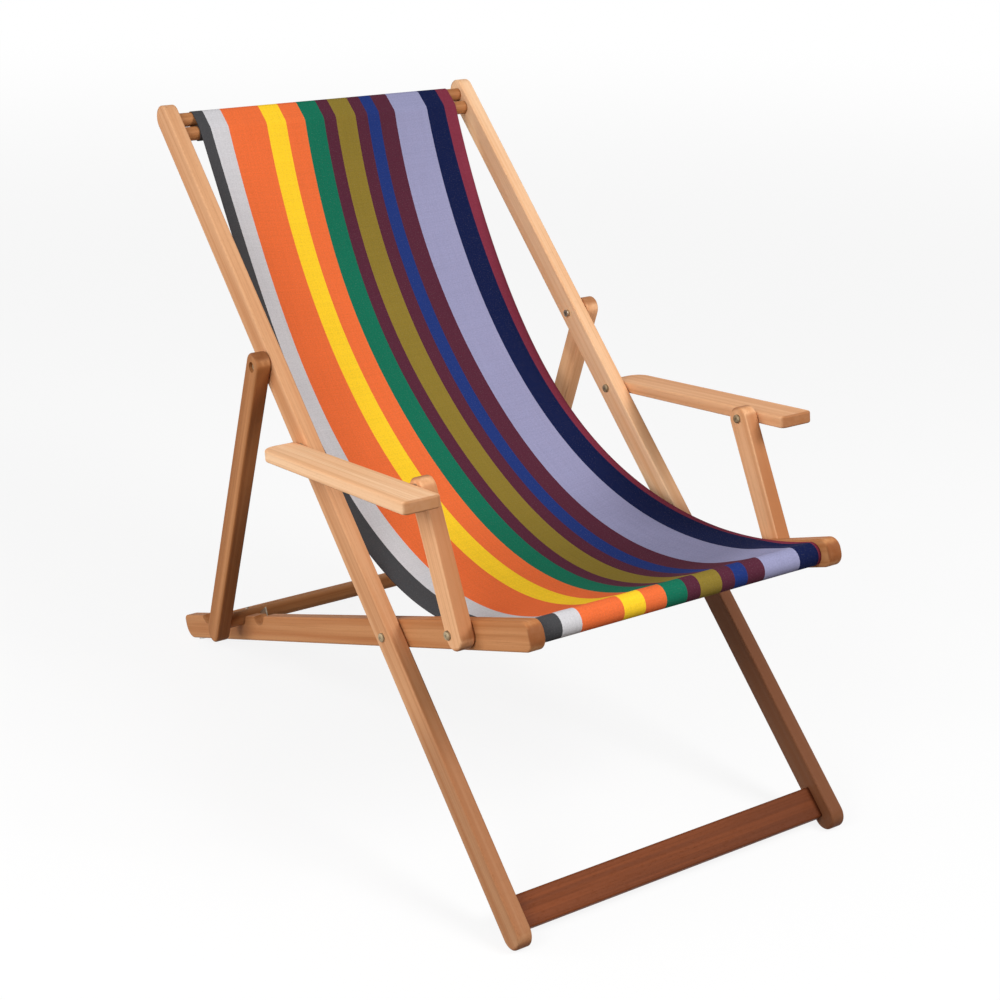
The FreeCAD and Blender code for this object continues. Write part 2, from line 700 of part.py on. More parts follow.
class Ribbon:
    """The two sides of a strip of cloth seen edge on, drawn by walking along its middle."""

    def __init__(self, x, start, heading, thickness):
        self.x = x
        self.place = start
        self.heading = heading
        self.half = thickness / 2
        self.left = []
        self.right = []

    def point(self, place, heading, offset):
        angle = math.radians(heading)
        y = place[0] - offset * math.sin(angle)
        z = place[1] + offset * math.cos(angle)
        return Vector(self.x, y, z)

    def straight(self, length):
        angle = math.radians(self.heading)
        start = self.place
        self.place = (start[0] + length * math.cos(angle), start[1] + length * math.sin(angle))
        for side, offset in ((self.left, self.half), (self.right, -self.half)):
            first = self.point(start, self.heading, offset)
            last = self.point(self.place, self.heading, offset)
            side.append(Part.LineSegment(first, last).toShape())

    def bend(self, radius, turn):
        """Turns left by a positive angle and right by a negative one, in equal steps."""
        steps = math.ceil(abs(turn) / WIDEST_ARC)
        for _ in range(steps):
            self.bend_once(radius, turn / steps)

    def bend_once(self, radius, turn):
        to_centre = radius if turn > 0 else -radius
        centre = self.point(self.place, self.heading, to_centre)
        headings = [self.heading, self.heading + turn / 2, self.heading + turn]
        for side, offset in ((self.left, self.half), (self.right, -self.half)):
            away = offset - to_centre
            points = [self.point((centre.y, centre.z), heading, away) for heading in headings]
            side.append(Part.Arc(*points).toShape())
        last = self.point((centre.y, centre.z), headings[2], -to_centre)
        self.place = (last.y, last.z)
        self.heading = headings[2]

    def outline(self):
        start_cap = Part.makeLine(self.right[0].Vertexes[0].Point, self.left[0].Vertexes[0].Point)
        end_cap = Part.makeLine(self.left[-1].Vertexes[-1].Point, self.right[-1].Vertexes[-1].Point)
        loop = [start_cap] + self.left + [end_cap] + self.right[::-1]
        return Part.Wire(loop)


def beside(centre, heading, radius):
    """The point on a circle where a left-turning path of this heading touches it."""
    angle = math.radians(heading)
    return centre[0] + radius * math.sin(angle), centre[1] - radius * math.cos(angle)


def sling_section(x, top_slope, front_slope, sag_radius):
    """The sling cut lengthwise, from its pocket on the lower top dowel to the front roll."""
    cloth = float(S.sling_thickness)
    layer = float(S.sling_thickness + S.sling_layer_gap)
    hug = float(S.top_dowel_radius + S.sling_layer_gap + S.sling_thickness / 2)
    lower = stile.at(lower_dowel)
    spacing = float(S.top_dowel_spacing)
    step_out = math.degrees(math.asin(layer / spacing))
    up_stile = stile.slope
    heading = up_stile + QUARTER_TURN
    ribbon = Ribbon(x, beside(lower, heading, hug), heading, cloth)
    ribbon.bend(hug, HALF_TURN + QUARTER_TURN)
    ribbon.straight(spacing)
    ribbon.bend(hug, HALF_TURN - step_out)
    ribbon.straight(math.sqrt(spacing ** 2 - layer ** 2))
    ribbon.bend(hug + layer, step_out + float(top_slope) - up_stile)

    # The hanging part is straight, then a wide arc, then straight on to the roll
    roll = rail.at(front_dowel_place)
    quarter_step = layer / 4
    dowel_hug = float(S.front_dowel_radius + S.sling_layer_gap + S.sling_thickness / 2)
    quarters = int(S.sling_roll_quarters.value)
    roll_radius = dowel_hug + quarter_step * quarters
    down = math.radians(HALF_TURN + float(top_slope))
    up = math.radians(HALF_TURN - float(front_slope))
    sag = float(sag_radius)
    landing = beside(roll, math.degrees(up), roll_radius)
    arc = (sag * (math.sin(down) - math.sin(up)), sag * (math.cos(up) - math.cos(down)))
    rest = (landing[0] - ribbon.place[0] - arc[0], landing[1] - ribbon.place[1] - arc[1])
    across = math.cos(down) * math.sin(up) - math.sin(down) * math.cos(up)
    upper_run = (rest[0] * math.sin(up) - rest[1] * math.cos(up)) / across
    front_run = (math.cos(down) * rest[1] - math.sin(down) * rest[0]) / across
    ribbon.straight(upper_run)
    ribbon.bend(sag, math.degrees(up - down))
    ribbon.straight(front_run)

    # The roll winds inwards by one layer in each full turn
    for index in range(quarters):
        ribbon.bend(roll_radius - quarter_step * index, QUARTER_TURN)
    return ribbon.outline()


sling_half = (rail_inner - S.sling_side_gap).value
left_shape = (S.sling_left_top_slope, S.sling_left_front_slope, S.sling_left_sag_radius)
middle_shape = (S.sling_middle_top_slope, S.sling_middle_front_slope, S.sling_middle_sag_radius)
right_shape = (S.sling_right_top_slope, S.sling_right_front_slope, S.sling_right_sag_radius)
left_edge = sling_section(-sling_half, *left_shape)
middle = sling_section(0, *middle_shape)
right_edge = sling_section(sling_half, *right_shape)
sling = doc.addObject("Part::Feature", "sling")
sling.Shape = Part.makeLoft([left_edge, middle, right_edge], True, False)
doc.recompute()

NODES = [
    "back_stile_left", "back_stile_right", "back_crossboard", "crossboard_pins",
    "top_dowel_upper", "top_dowel_lower", "seat_rail_left", "seat_rail_right",
    "seat_front_dowel", "seat_rear_dowel", "heel_glides", "rack_keepers", "rack_keeper_screws",
    "prop_strut_left", "prop_strut_right", "prop_dowel", "armrest_left", "armrest_right",
    "armrest_bushes_left", "armrest_bushes_right", "arm_strut_left", "arm_strut_right",
    "strut_top_bolt_left", "strut_top_bolt_right", "strut_top_washer_left", "strut_top_washer_right",
    "main_pivot_bolts", "main_pivot_washers", "main_pivot_nuts",
    "strut_foot_bolts", "strut_foot_washers", "strut_foot_nuts",
    "prop_pivot_bolts", "prop_pivot_washers", "prop_pivot_nuts",
    "arm_pivot_bolts", "arm_pivot_washers", "sling",
]
for item in doc.Objects:
    if "Invalid" in item.State or "Error" in item.State:
        raise RuntimeError(f"{item.Name} failed: {item.State}")
os.makedirs("parts", exist_ok=True)
for node in NODES:
    shape = doc.getObjectsByLabel(node)[0].Shape
    if shape.isNull() or not shape.isValid() or not shape.Solids:
        raise RuntimeError(f"{node} has no valid solid")
    shape.exportStep(f"parts/{node}.step")
    box = shape.BoundBox
    print(f"{node}: {len(shape.Solids)} solids, {shape.Volume / 1000:.1f} cm3, "
          f"z {box.ZMin:.1f} to {box.ZMax:.1f}")
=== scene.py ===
import math

import bpy
from mathutils import Matrix, Vector


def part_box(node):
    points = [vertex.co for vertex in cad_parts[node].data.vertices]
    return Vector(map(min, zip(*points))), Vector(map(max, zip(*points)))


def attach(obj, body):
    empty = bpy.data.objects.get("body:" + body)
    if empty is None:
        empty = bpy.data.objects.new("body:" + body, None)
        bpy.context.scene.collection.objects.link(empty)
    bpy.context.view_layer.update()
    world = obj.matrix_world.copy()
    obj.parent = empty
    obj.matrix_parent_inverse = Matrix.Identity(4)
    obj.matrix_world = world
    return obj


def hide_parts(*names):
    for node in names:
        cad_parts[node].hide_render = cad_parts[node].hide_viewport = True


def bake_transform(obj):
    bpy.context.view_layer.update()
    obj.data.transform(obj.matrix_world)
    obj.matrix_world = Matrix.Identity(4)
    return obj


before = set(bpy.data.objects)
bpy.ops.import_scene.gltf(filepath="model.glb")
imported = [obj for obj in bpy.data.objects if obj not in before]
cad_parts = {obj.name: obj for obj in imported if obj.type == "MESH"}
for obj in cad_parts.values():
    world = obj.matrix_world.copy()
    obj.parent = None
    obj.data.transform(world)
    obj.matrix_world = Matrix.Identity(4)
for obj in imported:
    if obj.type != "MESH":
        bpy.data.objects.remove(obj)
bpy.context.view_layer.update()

# The stiles, rails, prop struts, armrests and arm struts are straight beech boards, sawn along the
# grain, with eased edges and a thin coat of oil. Each board's tone was set to how light or dark it
# looks, so the differences between boards are partly painted light and shade. Their narrow sides carry
# painted shade, and painted shade darkens the stiles towards their feet, most on the right stile under
# the seat.
CREAM = ((250, 206, 164), (236, 180, 132))
PALE = ((238, 184, 138), (218, 156, 108))
HONEY = ((220, 166, 122), (200, 138, 92))
AMBER = ((202, 142, 94), (180, 114, 66))
BROWN = ((192, 132, 84), (162, 104, 60))
# A deep brown used as painted shade, on the crossboard and at the stiles' feet
SHADE_UMBER = ((134, 68, 30), (100, 48, 18))
LINE_SHADE = 0.80
FLECK_SHADE = 0.66
SIDE_SHADE = (0.62, 0.48, 0.36, 1.0)
END_SHADE = (0.5, 0.38, 0.28, 1.0)
LINE_WIDTH = 0.0026
LINE_LENGTH = 0.26
STREAK_WIDTH = 0.011
STREAK_LENGTH = 0.9
FLECK_WIDTH = 0.0005
FLECK_LENGTH = 0.009
PATCH_WIDTH = 0.16
PATCH_LENGTH = 0.3
STREAK_SHARE = 0.75
LINE_STRENGTH = 0.5
FLECK_STRENGTH = 0.28
END_STRENGTH = 0.8
EASED_EDGE = 0.0004
EASED_END = 0.001
SIDE_DEPTH = 0.0022
END_DEPTH = 0.006
FOOT_DEPTH = 0.10
FOOT_UNEVEN = 0.06
WOOD_RELIEF = 0.0002
WOOD_SHEEN = 0.18
GRAIN_STEP = (0.37, 0.83, 0.59)


def paint(red, green, blue):
    """A colour as the eye reads it, from 0 to 255, in the linear values that shaders take."""
    def linear(part):
        part = part / 255
        return part / 12.92 if part <= 0.04045 else ((part + 0.055) / 1.055) ** 2.4

    return linear(red), linear(green), linear(blue), 1.0


def shaded(colour, share):
    return tuple(part * share for part in colour)


def tinted(colour, share):
    return tuple(part * other for part, other in zip(colour, share))


class Signal:
    """One output of a shader node. Python's operators on it add Math nodes."""

    def __init__(self, tree, socket=None):
        self.tree = tree
        self.socket = socket

    def node(self, kind, settings=None, inputs=None, output=0):
        """Adds a node of any kind: its settings first, then the values or links of its sockets."""
        made = self.tree.nodes.new(kind)
        for name, value in (settings or {}).items():
            if name == "stops":
                elements = made.color_ramp.elements
                while len(elements) < len(value):
                    elements.new(1.0)
                for element, (place, colour) in zip(elements, value):
                    element.position = place
                    element.color = colour
            elif name == "interpolation":
                made.color_ramp.interpolation = value
            else:
                setattr(made, name, value)
        for name, value in (inputs or {}).items():
            if isinstance(value, Signal):
                self.tree.links.new(value.socket, made.inputs[name])
            else:
                made.inputs[name].default_value = value
        return Signal(self.tree, made.outputs[output])

    def math(self, operation, *others):
        inputs = dict(enumerate((self,) + others))
        return self.node("ShaderNodeMath", {"operation": operation}, inputs)

    def __add__(self, other):
        return self.math("ADD", other)

    def __sub__(self, other):
        return self.math("SUBTRACT", other)

    def __mul__(self, other):
        return self.math("MULTIPLY", other)

    def __truediv__(self, other):
        return self.math("DIVIDE", other)

    def __rsub__(self, other):
        return self.node("ShaderNodeMath", {"operation": "SUBTRACT"}, {0: other, 1: self})

    __radd__ = __add__
    __rmul__ = __mul__

    def ramp(self, low, high):
        """0 up to low, 1 from high, and smooth between them."""
        inputs = {"Value": self, "From Min": low, "From Max": high}
        return self.node("ShaderNodeMapRange", {"interpolation_type": "SMOOTHSTEP"}, inputs)

    def fade(self, low, high):
        """1 up to low, 0 from high, and smooth between them."""
        return 1 - self.ramp(low, high)

    def tint(self, low, high):
        """The first colour where this is 0 and the second where it is 1."""
        return self.node("ShaderNodeMix", {"data_type": "RGBA"}, {0: self, 6: low, 7: high}, 2)

    def part(self, axis):
        """One part of a vector, by the name of its axis."""
        return self.node("ShaderNodeSeparateXYZ", None, {0: self}, axis)

    def mapped(self, turn=(0, 0, 0), shift=(0, 0, 0), scale=(1, 1, 1)):
        turn = [math.radians(angle) for angle in turn]
        inputs = {"Vector": self, "Rotation": turn, "Location": shift, "Scale": scale}
        return self.node("ShaderNodeMapping", None, inputs)

    def noise(self, scale=1.0, detail=2.0, rough=0.5):
        inputs = {"Vector": self, "Scale": scale, "Detail": detail, "Roughness": rough}
        return self.node("ShaderNodeTexNoise", None, inputs)

    def object_place(self):
        return self.node("ShaderNodeTexCoord", None, None, "Object")


def new_material(name):
    """An empty material with a Principled shader, and a start for its node expressions."""
    material = bpy.data.materials.new(name)
    material.use_nodes = True
    tree = material.node_tree
    shader = tree.nodes["Principled BSDF"]
    return material, shader, Signal(tree)


def finish(shader, start, colour, roughness, height, depth):
    """Feeds a Principled shader: its colour, its roughness and a relief of the given depth."""
    bump = start.node("ShaderNodeBump", None, {"Height": height, "Strength": 1.0, "Distance": depth})
    for name, value in (("Base Color", colour), ("Roughness", roughness), ("Normal", bump)):
        start.tree.links.new(value.socket, shader.inputs[name])


def reach(node, turn, axis):
    """Where a board starts and ends on one axis, after the turn that brings its length to the Y axis."""
    angles = [Matrix.Rotation(math.radians(angle), 3, name) for angle, name in zip(turn, "XYZ")]
    turning = angles[2] @ angles[1] @ angles[0]
    places = [(turning @ vertex.co)["XYZ".index(axis)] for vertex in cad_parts[node].data.vertices]
    return min(places), max(places)


def beech(node, turn, shift, tones, side=0.0, foot=(0.0, 0.0)):
    """Beech whose grain runs along the board. Side is how much painted shade its narrow sides get, and
    foot how much painted shade darkens its low end, over what length."""
    material, shader, start = new_material(f"beech_{node}")
    board = start.object_place().mapped(turn)
    low, high = reach(node, turn, "Y")
    along = board.part("Y")

    def stretched(across, length):
        return board.mapped(shift=shift, scale=(1 / across, 1 / length, 1 / across))

    light, warm = (paint(*tone) for tone in tones)
    streak = stretched(STREAK_WIDTH, STREAK_LENGTH).noise(1.0, 2.0)
    lines = stretched(LINE_WIDTH, LINE_LENGTH).noise(1.0, 3.0, 0.62)
    fleck = stretched(FLECK_WIDTH, FLECK_LENGTH).noise(1.0, 1.0)
    patch = stretched(PATCH_WIDTH, PATCH_LENGTH).noise(1.0, 1.0)
    uneven = streak * STREAK_SHARE + patch * (1 - STREAK_SHARE)
    colour = uneven.ramp(0.34, 0.66).tint(light, warm)
    colour = (lines.ramp(0.5, 0.74) * LINE_STRENGTH).tint(colour, shaded(warm, LINE_SHADE))
    colour = (fleck.ramp(0.62, 0.74) * FLECK_STRENGTH).tint(colour, shaded(warm, FLECK_SHADE))
    # Painted shade on the narrow sides, darker than the broad faces
    if side:
        back, front = reach(node, turn, "Z")
        from_side = (front - back) / 2 - (board.part("Z") - (back + front) / 2).math("ABSOLUTE")
        colour = (from_side.fade(EASED_EDGE, SIDE_DEPTH) * side).tint(colour, tinted(warm, SIDE_SHADE))
    from_end = (high - low) / 2 - (along - (low + high) / 2).math("ABSOLUTE")
    ended = from_end.fade(EASED_END, END_DEPTH) * END_STRENGTH
    colour = ended.tint(colour, tinted(warm, END_SHADE))
    # Painted shade towards the foot; on the right stile it stands for the seat's shadow
    if foot[0]:
        painted_low_shade = (along + patch * FOOT_UNEVEN - low - foot[1]).fade(0.0, FOOT_DEPTH) * foot[0]
        colour = painted_low_shade.tint(colour, paint(*SHADE_UMBER[1]))
    height = lines * 0.4 - fleck.ramp(0.58, 0.78) * 0.6
    finish(shader, start, colour, 0.54 + lines * 0.14, height, WOOD_RELIEF)
    shader.inputs["Specular IOR Level"].default_value = WOOD_SHEEN
    return material


def slope_of(node):
    """The slope in degrees of a long board, seen from the side, from how its points spread."""
    points = [vertex.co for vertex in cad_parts[node].data.vertices]
    centre = sum(points, Vector()) / len(points)
    level = sum((point.y - centre.y) ** 2 for point in points)
    upright = sum((point.z - centre.z) ** 2 for point in points)
    both = sum((point.y - centre.y) * (point.z - centre.z) for point in points)
    return math.degrees(math.atan2(2 * both, level - upright)) / 2


def dress(node, material):
    """Gives a piece that comes from the construction its finish."""
    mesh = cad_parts[node].data
    mesh.materials.clear()
    mesh.materials.append(material)


# For each board: its tones, its narrow sides' painted shade, and its foot's painted shade and height
boards = {
    "back_stile_left": (HONEY, 0.35, (0.3, 0.3)), "back_stile_right": (CREAM, 0.35, (0.9, 0.5)),
    "seat_rail_left": (AMBER, 0.2, (0, 0)), "seat_rail_right": (AMBER, 0.2, (0, 0)),
    "prop_strut_left": (BROWN, 0.55, (0, 0)), "prop_strut_right": (PALE, 0.2, (0, 0)),
    "armrest_left": (CREAM, 0.0, (0, 0)), "armrest_right": (PALE, 0.0, (0, 0)),
    "arm_strut_left": (PALE, 0.8, (0, 0)), "arm_strut_right": (PALE, 0.95, (0, 0)),
}
for index, (node, (tones, side, foot)) in enumerate(boards.items()):
    shift = [step * index for step in GRAIN_STEP]
    dress(node, beech(node, (-slope_of(node), 0, 0), shift, tones, side, foot))

# The dowels and the crossboard lie across the chair. They are darker beech, turned or planed, and the
# crossboard's deeper brown is painted shade. Their ends sit glued in sockets in the boards, the
# crossboard on hidden wooden pins.
GRAIN_STEP_ACROSS = (0.71, 0.29, 0.47)
crosswise = [
    "top_dowel_upper", "top_dowel_lower", "seat_front_dowel", "seat_rear_dowel",
    "prop_dowel", "back_crossboard", "crossboard_pins",
]
for index, node in enumerate(crosswise):
    shift = [step * index for step in GRAIN_STEP_ACROSS]
    # The crossboard's deep brown tone is painted shade
    tones = SHADE_UMBER if node == "back_crossboard" else BROWN
    dress(node, beech(node, (0, 0, 90), shift, tones))

# The washers, nuts, bushes, keepers and screws are steel with a thin zinc plating that has gone dull.
# The glides are nailed steel discs, rubbed bright where they meet the floor.
ZINC = ((190, 182, 164), (156, 146, 127))
RUBBED = ((205, 205, 203), (140, 138, 134))
KEY_HOLE_SHADE = (70, 58, 46)
SOCKET_SIZE = 0.0021
SOCKET_EDGE = 0.0003
SOCKET_SHADE = 0.5
CLOUD_FINENESS = 110.0
BRUSH_LINES = (2500, 300, 300)
PLATING_RELIEF = 0.00002


def plated(name, tones, rough, socket=None):
    """Plated steel. Socket is where, seen from the side, a bolt's head has its six-sided key hole,
    dented in the relief and with painted shade in it.
    """
    material, shader, start = new_material(name)
    place = start.object_place()
    bright, dull = (paint(*tone) for tone in tones)
    cloudy = place.noise(CLOUD_FINENESS, 2.0)
    brushed = place.mapped(scale=BRUSH_LINES).noise()
    colour = cloudy.ramp(0.3, 0.75).tint(bright, dull)
    height = brushed
    if socket:
        level = place.part("Y") - socket[0]
        upright = place.part("Z") - socket[1]
        flats = level.math("ABSOLUTE")
        for angle in (math.radians(60), math.radians(-60)):
            flat = (level * math.cos(angle) + upright * math.sin(angle)).math("ABSOLUTE")
            flats = flats.math("MAXIMUM", flat)
        hole = flats.fade(SOCKET_SIZE - SOCKET_EDGE, SOCKET_SIZE)
        # Painted shade inside the key hole
        colour = (hole * SOCKET_SHADE).tint(colour, paint(*KEY_HOLE_SHADE))
        height = brushed * 0.1 - hole * 2.0
    finish(shader, start, colour, rough + cloudy * 0.16, height, PLATING_RELIEF)
    shader.inputs["Metallic"].default_value = 1.0
    return material


zinc_steel = plated("zinc_steel", ZINC, 0.38)
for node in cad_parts:
    if any(word in node for word in ("washer", "nut", "bush", "keeper")):
        dress(node, zinc_steel)
dress("heel_glides", plated("glide_steel", RUBBED, 0.22))

# The bolts that join the boards are plated steel with low round heads, turned with a six-sided key.
# Each pair lies on one axis across the chair, and their plating is tinted brown.
BROWN_PLATING = ((170, 154, 126), (132, 114, 88))


def middle(node):
    low, high = (Vector(corner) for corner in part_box(node))
    return (low + high) / 2


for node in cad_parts:
    if "bolt" in node:
        axis = middle(node)
        dress(node, plated(f"steel_{node}", BROWN_PLATING, 0.56, (axis.y, axis.z)))

# The sling is one length of heavy striped canvas. A pocket in its end holds the lower top dowel, it
# goes over the upper one, hangs in front of both and is wound round the front dowel. Its selvedges
# stand higher than its middle and curl back. The left one dips under the end of the strut's foot bolt.
CLOTH = 0.0010
LAYER = 0.0016
DOWEL_GAP = 0.0010
SIDE_GAP = 0.0005
POCKET_TURN = 270
HANG_SLOPES = {
    "left": (54, 49, 15, -37),
    "middle": (74.5, 42.5, 13, -34),
    "right": (64.5, 45.5, 9, -21.5),
}
EDGE_RISE = 2.6
HANG_STEPS = 150
LANDING_ROUNDS = 8
ROLL_QUARTERS = 6
EDGE_STEPS = (0.0, 0.0008, 0.0018, 0.0030, 0.0045, 0.0065, 0.0090)
COLUMNS = 110
CURL_WIDTH = 0.009
CURL_DEPTH = 0.0022
TUCK_DEPTH = 0.0070
TUCK_WIDTH = 0.030
TUCK_REACH = 0.030
PUCKER_HEIGHT = 0.0020
PUCKER_REACH = 0.035
PUCKER_FROM_ROLL = 0.05
PUCKER_IN_MIDDLE = 0.35
PUCKER_WAVES = ((97, 0.6, 1.0), (163, 2.1, 0.6))
SWELL_HEIGHT = 0.0010
SWELL_WAVES = ((17, 9, 0.0, 1.0), (31, -13, 1.3, 0.7))
EASE_SHARE = 1 / 6


def radius(node):
    low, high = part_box(node)
    return (high[2] - low[2]) / 2


upper, lower = middle("top_dowel_upper"), middle("top_dowel_lower")
roller = middle("seat_front_dowel")
stile_angle = math.atan2(upper.z - lower.z, upper.y - lower.y)
spacing = math.hypot(upper.z - lower.z, upper.y - lower.y)
hug = radius("top_dowel_upper") + DOWEL_GAP
wound = radius("seat_front_dowel") + DOWEL_GAP + LAYER * ROLL_QUARTERS / 4
half_width = -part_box("seat_rail_left")[1][0] - SIDE_GAP
foot_bolt = middle("strut_foot_nuts")


class Walk:
    """A path in the side view, walked along as straight runs and bends, and kept as points."""

    def __init__(self, place, heading):
        self.y, self.z = place
        self.heading = heading
        self.length = 0.0
        self.points = [(self.y, self.z, heading, 0.0)]

    def bend(self, size, turn, steps):
        """Goes round a circle with this radius, by this turn."""
        for _ in range(steps):
            part = turn / steps
            chord = 2 * size * math.sin(abs(part) / 2)
            self.heading += part / 2
            self.step(chord, size * abs(part))
            self.heading += part / 2
            self.points[-1] = (self.y, self.z, self.heading, self.length)

    def straight(self, length, steps):
        for _ in range(steps):
            self.step(length / steps, length / steps)

    def step(self, chord, length):
        """Goes on by a chord, which takes this length of cloth."""
        self.y += chord * math.cos(self.heading)
        self.z += chord * math.sin(self.heading)
        self.length += length
        self.points.append((self.y, self.z, self.heading, self.length))


def beside(centre, heading, size):
    """The point on a circle where a path with this heading touches it."""
    return centre.y + size * math.sin(heading), centre.z - size * math.cos(heading)


def slope_at(slopes, share):
    """The slope part of the way down a line of cloth, smooth through slopes at equal steps."""
    at = share * (len(slopes) - 1)
    index = min(int(at), len(slopes) - 2)
    part = at - index
    here, after = slopes[index], slopes[index + 1]
    before = slopes[index - 1] if index else 2 * here - after
    beyond = slopes[index + 2] if index + 2 < len(slopes) else 2 * after - here
    third = 3 * (here - after) + beyond - before
    second = 2 * before - 5 * here + 4 * after - beyond
    return here + part / 2 * (after - before + part * (second + part * third))


def to_the_hang(top_slope):
    """The way from the pocket round the lower dowel, over the upper one and down to where it hangs."""
    step_out = math.asin(LAYER / spacing)
    start = stile_angle + math.pi / 2
    walk = Walk(beside(lower, start, hug), start)
    walk.bend(hug, math.radians(POCKET_TURN), steps=30)
    walk.straight(spacing, steps=4)
    walk.bend(hug, math.pi - step_out, steps=24)
    walk.straight(math.sqrt(spacing ** 2 - LAYER ** 2), steps=6)
    walk.bend(hug + LAYER, step_out + top_slope - stile_angle, steps=6)
    return walk


def sling_line(slopes):
    """One line along the cloth, turned and stretched a touch so that it lands on the roll."""
    turned = 0.0
    for _ in range(LANDING_ROUNDS):
        walk = to_the_hang(math.radians(slopes[0]) + turned)
        headings = [math.pi + turned + math.radians(slope_at(slopes, (step + 0.5) / HANG_STEPS))
                    for step in range(HANG_STEPS)]
        run = sum(math.cos(heading) for heading in headings) / HANG_STEPS
        rise = sum(math.sin(heading) for heading in headings) / HANG_STEPS
        landing = beside(roller, math.pi + turned + math.radians(slopes[-1]), wound)
        across, up = landing[0] - walk.y, landing[1] - walk.z
        length = math.hypot(across, up) / math.hypot(run, rise)
        turned += math.remainder(math.atan2(up, across) - math.atan2(rise, run), 2 * math.pi)
    for heading in headings:
        walk.heading = heading
        walk.straight(length / HANG_STEPS, steps=1)
    walk.heading = math.pi + turned + math.radians(slopes[-1])
    for quarter in range(ROLL_QUARTERS):
        walk.bend(wound - LAYER / 4 * quarter, math.pi / 2, steps=10)
    return walk.points


lines = {name: sling_line(slopes) for name, slopes in HANG_SLOPES.items()}
hang_from = len(to_the_hang(stile_angle).points) - 1
hang_to = hang_from + HANG_STEPS
between = 2 * half_width - 2 * EDGE_STEPS[-1]
inner = [EDGE_STEPS[-1] + between * step / COLUMNS for step in range(1, COLUMNS)]
places = list(EDGE_STEPS) + inner + [2 * half_width - step for step in reversed(EDGE_STEPS)]


def cloth_point(row, place):
    """A point of the cloth: how far down it is, how far from its left edge, and its uneven swell."""
    share = place / (2 * half_width)
    side = "left" if share < 0.5 else "right"
    outwards = abs(2 * share - 1) ** EDGE_RISE
    centre, edge = lines["middle"][row], lines[side][row]
    y, z, heading, length = (a + (b - a) * outwards for a, b in zip(centre, edge))
    hanging = min(max((row - hang_from) / HANG_STEPS, 0), 1)
    ease = min(1, hanging / EASE_SHARE, (1 - hanging) / EASE_SHARE)
    from_edge = min(place, 2 * half_width - place)
    back = CURL_DEPTH * max(1 - from_edge / CURL_WIDTH, 0) ** 2 * ease
    tucked = math.exp(-((y - foot_bolt.y) / TUCK_REACH) ** 2)
    back += TUCK_DEPTH * tucked * max(1 - place / TUCK_WIDTH, 0) ** 2
    to_roll = lines["middle"][hang_to][3] - centre[3]
    near_roll = math.exp(-((to_roll - PUCKER_FROM_ROLL) / PUCKER_REACH) ** 2)
    gathered = near_roll * (PUCKER_IN_MIDDLE + (1 - PUCKER_IN_MIDDLE) * outwards)
    wave = sum(size * math.sin(place * across + start) for across, start, size in PUCKER_WAVES)
    swell = sum(size * math.sin(place * across + length * down + start)
                for across, down, start, size in SWELL_WAVES)
    back += PUCKER_HEIGHT * gathered * wave + SWELL_HEIGHT * swell * ease * math.sin(math.pi * share)
    return place - half_width, y - back * math.sin(heading), z + back * math.cos(heading)


# The stripes' widths and colours from the left selvedge on, and what is painted on the cloth: painted
# shade darkens the seat, more so to the right, and fibres have rubbed up
SEAT_FROM = (0.86, 1.14)
SEAT_TO = (1.22, 1.32)
SEAT_SHADE = (0.13, 0.22)
FIBRE = (150, 142, 140)
FUZZ_FINENESS = 900.0
FUZZ_DEPTH = 0.0008
THREADS = (1500, 30)
SLUBS = (300, 9)
GRAIN_FINENESS = 430.0
LINT_FINENESS = 640.0
LINT_STRENGTH = 0.16
FADED_FINENESS = 5.0
CLOTH_RELIEF = 0.00035
CLOTH_SHEEN = 0.08
STRIPES = [
    (0.0430, (70, 70, 72)), (0.0302, (206, 204, 207)), (0.0680, (234, 110, 58)),
    (0.0350, (252, 206, 44)), (0.0336, (234, 110, 58)), (0.0358, (20, 108, 82)),
    (0.0221, (84, 38, 54)), (0.0367, (136, 116, 46)), (0.0220, (84, 38, 54)),
    (0.0221, (32, 52, 116)), (0.0304, (84, 38, 54)), (0.0636, (150, 150, 184)),
    (0.0330, (16, 26, 66)), (0.0445, (126, 48, 66)),
]
ASKEW_AT_TOP = 0.0284
ASKEW_PER_METRE = -0.0148

vertices, cloth_places = [], []
for row in range(len(lines["middle"])):
    length = lines["middle"][row][3]
    for place in places:
        vertices.append(cloth_point(row, place))
        cloth_places.append((place + ASKEW_AT_TOP + ASKEW_PER_METRE * length, length))
faces = []
wide = len(places)
for row in range(len(lines["middle"]) - 1):
    for column in range(wide - 1):
        first = row * wide + column
        faces.append((first, first + wide, first + wide + 1, first + 1))
mesh = bpy.data.meshes.new("sling_cloth")
mesh.from_pydata(vertices, [], faces)
layout = mesh.uv_layers.new(name="cloth")
for loop in mesh.loops:
    layout.data[loop.index].uv = cloth_places[loop.vertex_index]
mesh.shade_smooth()
sling = bpy.data.objects.new("sling_cloth", mesh)
bpy.context.scene.collection.objects.link(sling)


def both_ways(cloth, fine, coarse):
    """Lines in the cloth, half of them along its length and half across it."""
    along = cloth.mapped(scale=(fine, coarse, 1)).noise()
    across = cloth.mapped(scale=(coarse, fine, 1)).noise()
    return along * 0.5 + across * 0.5


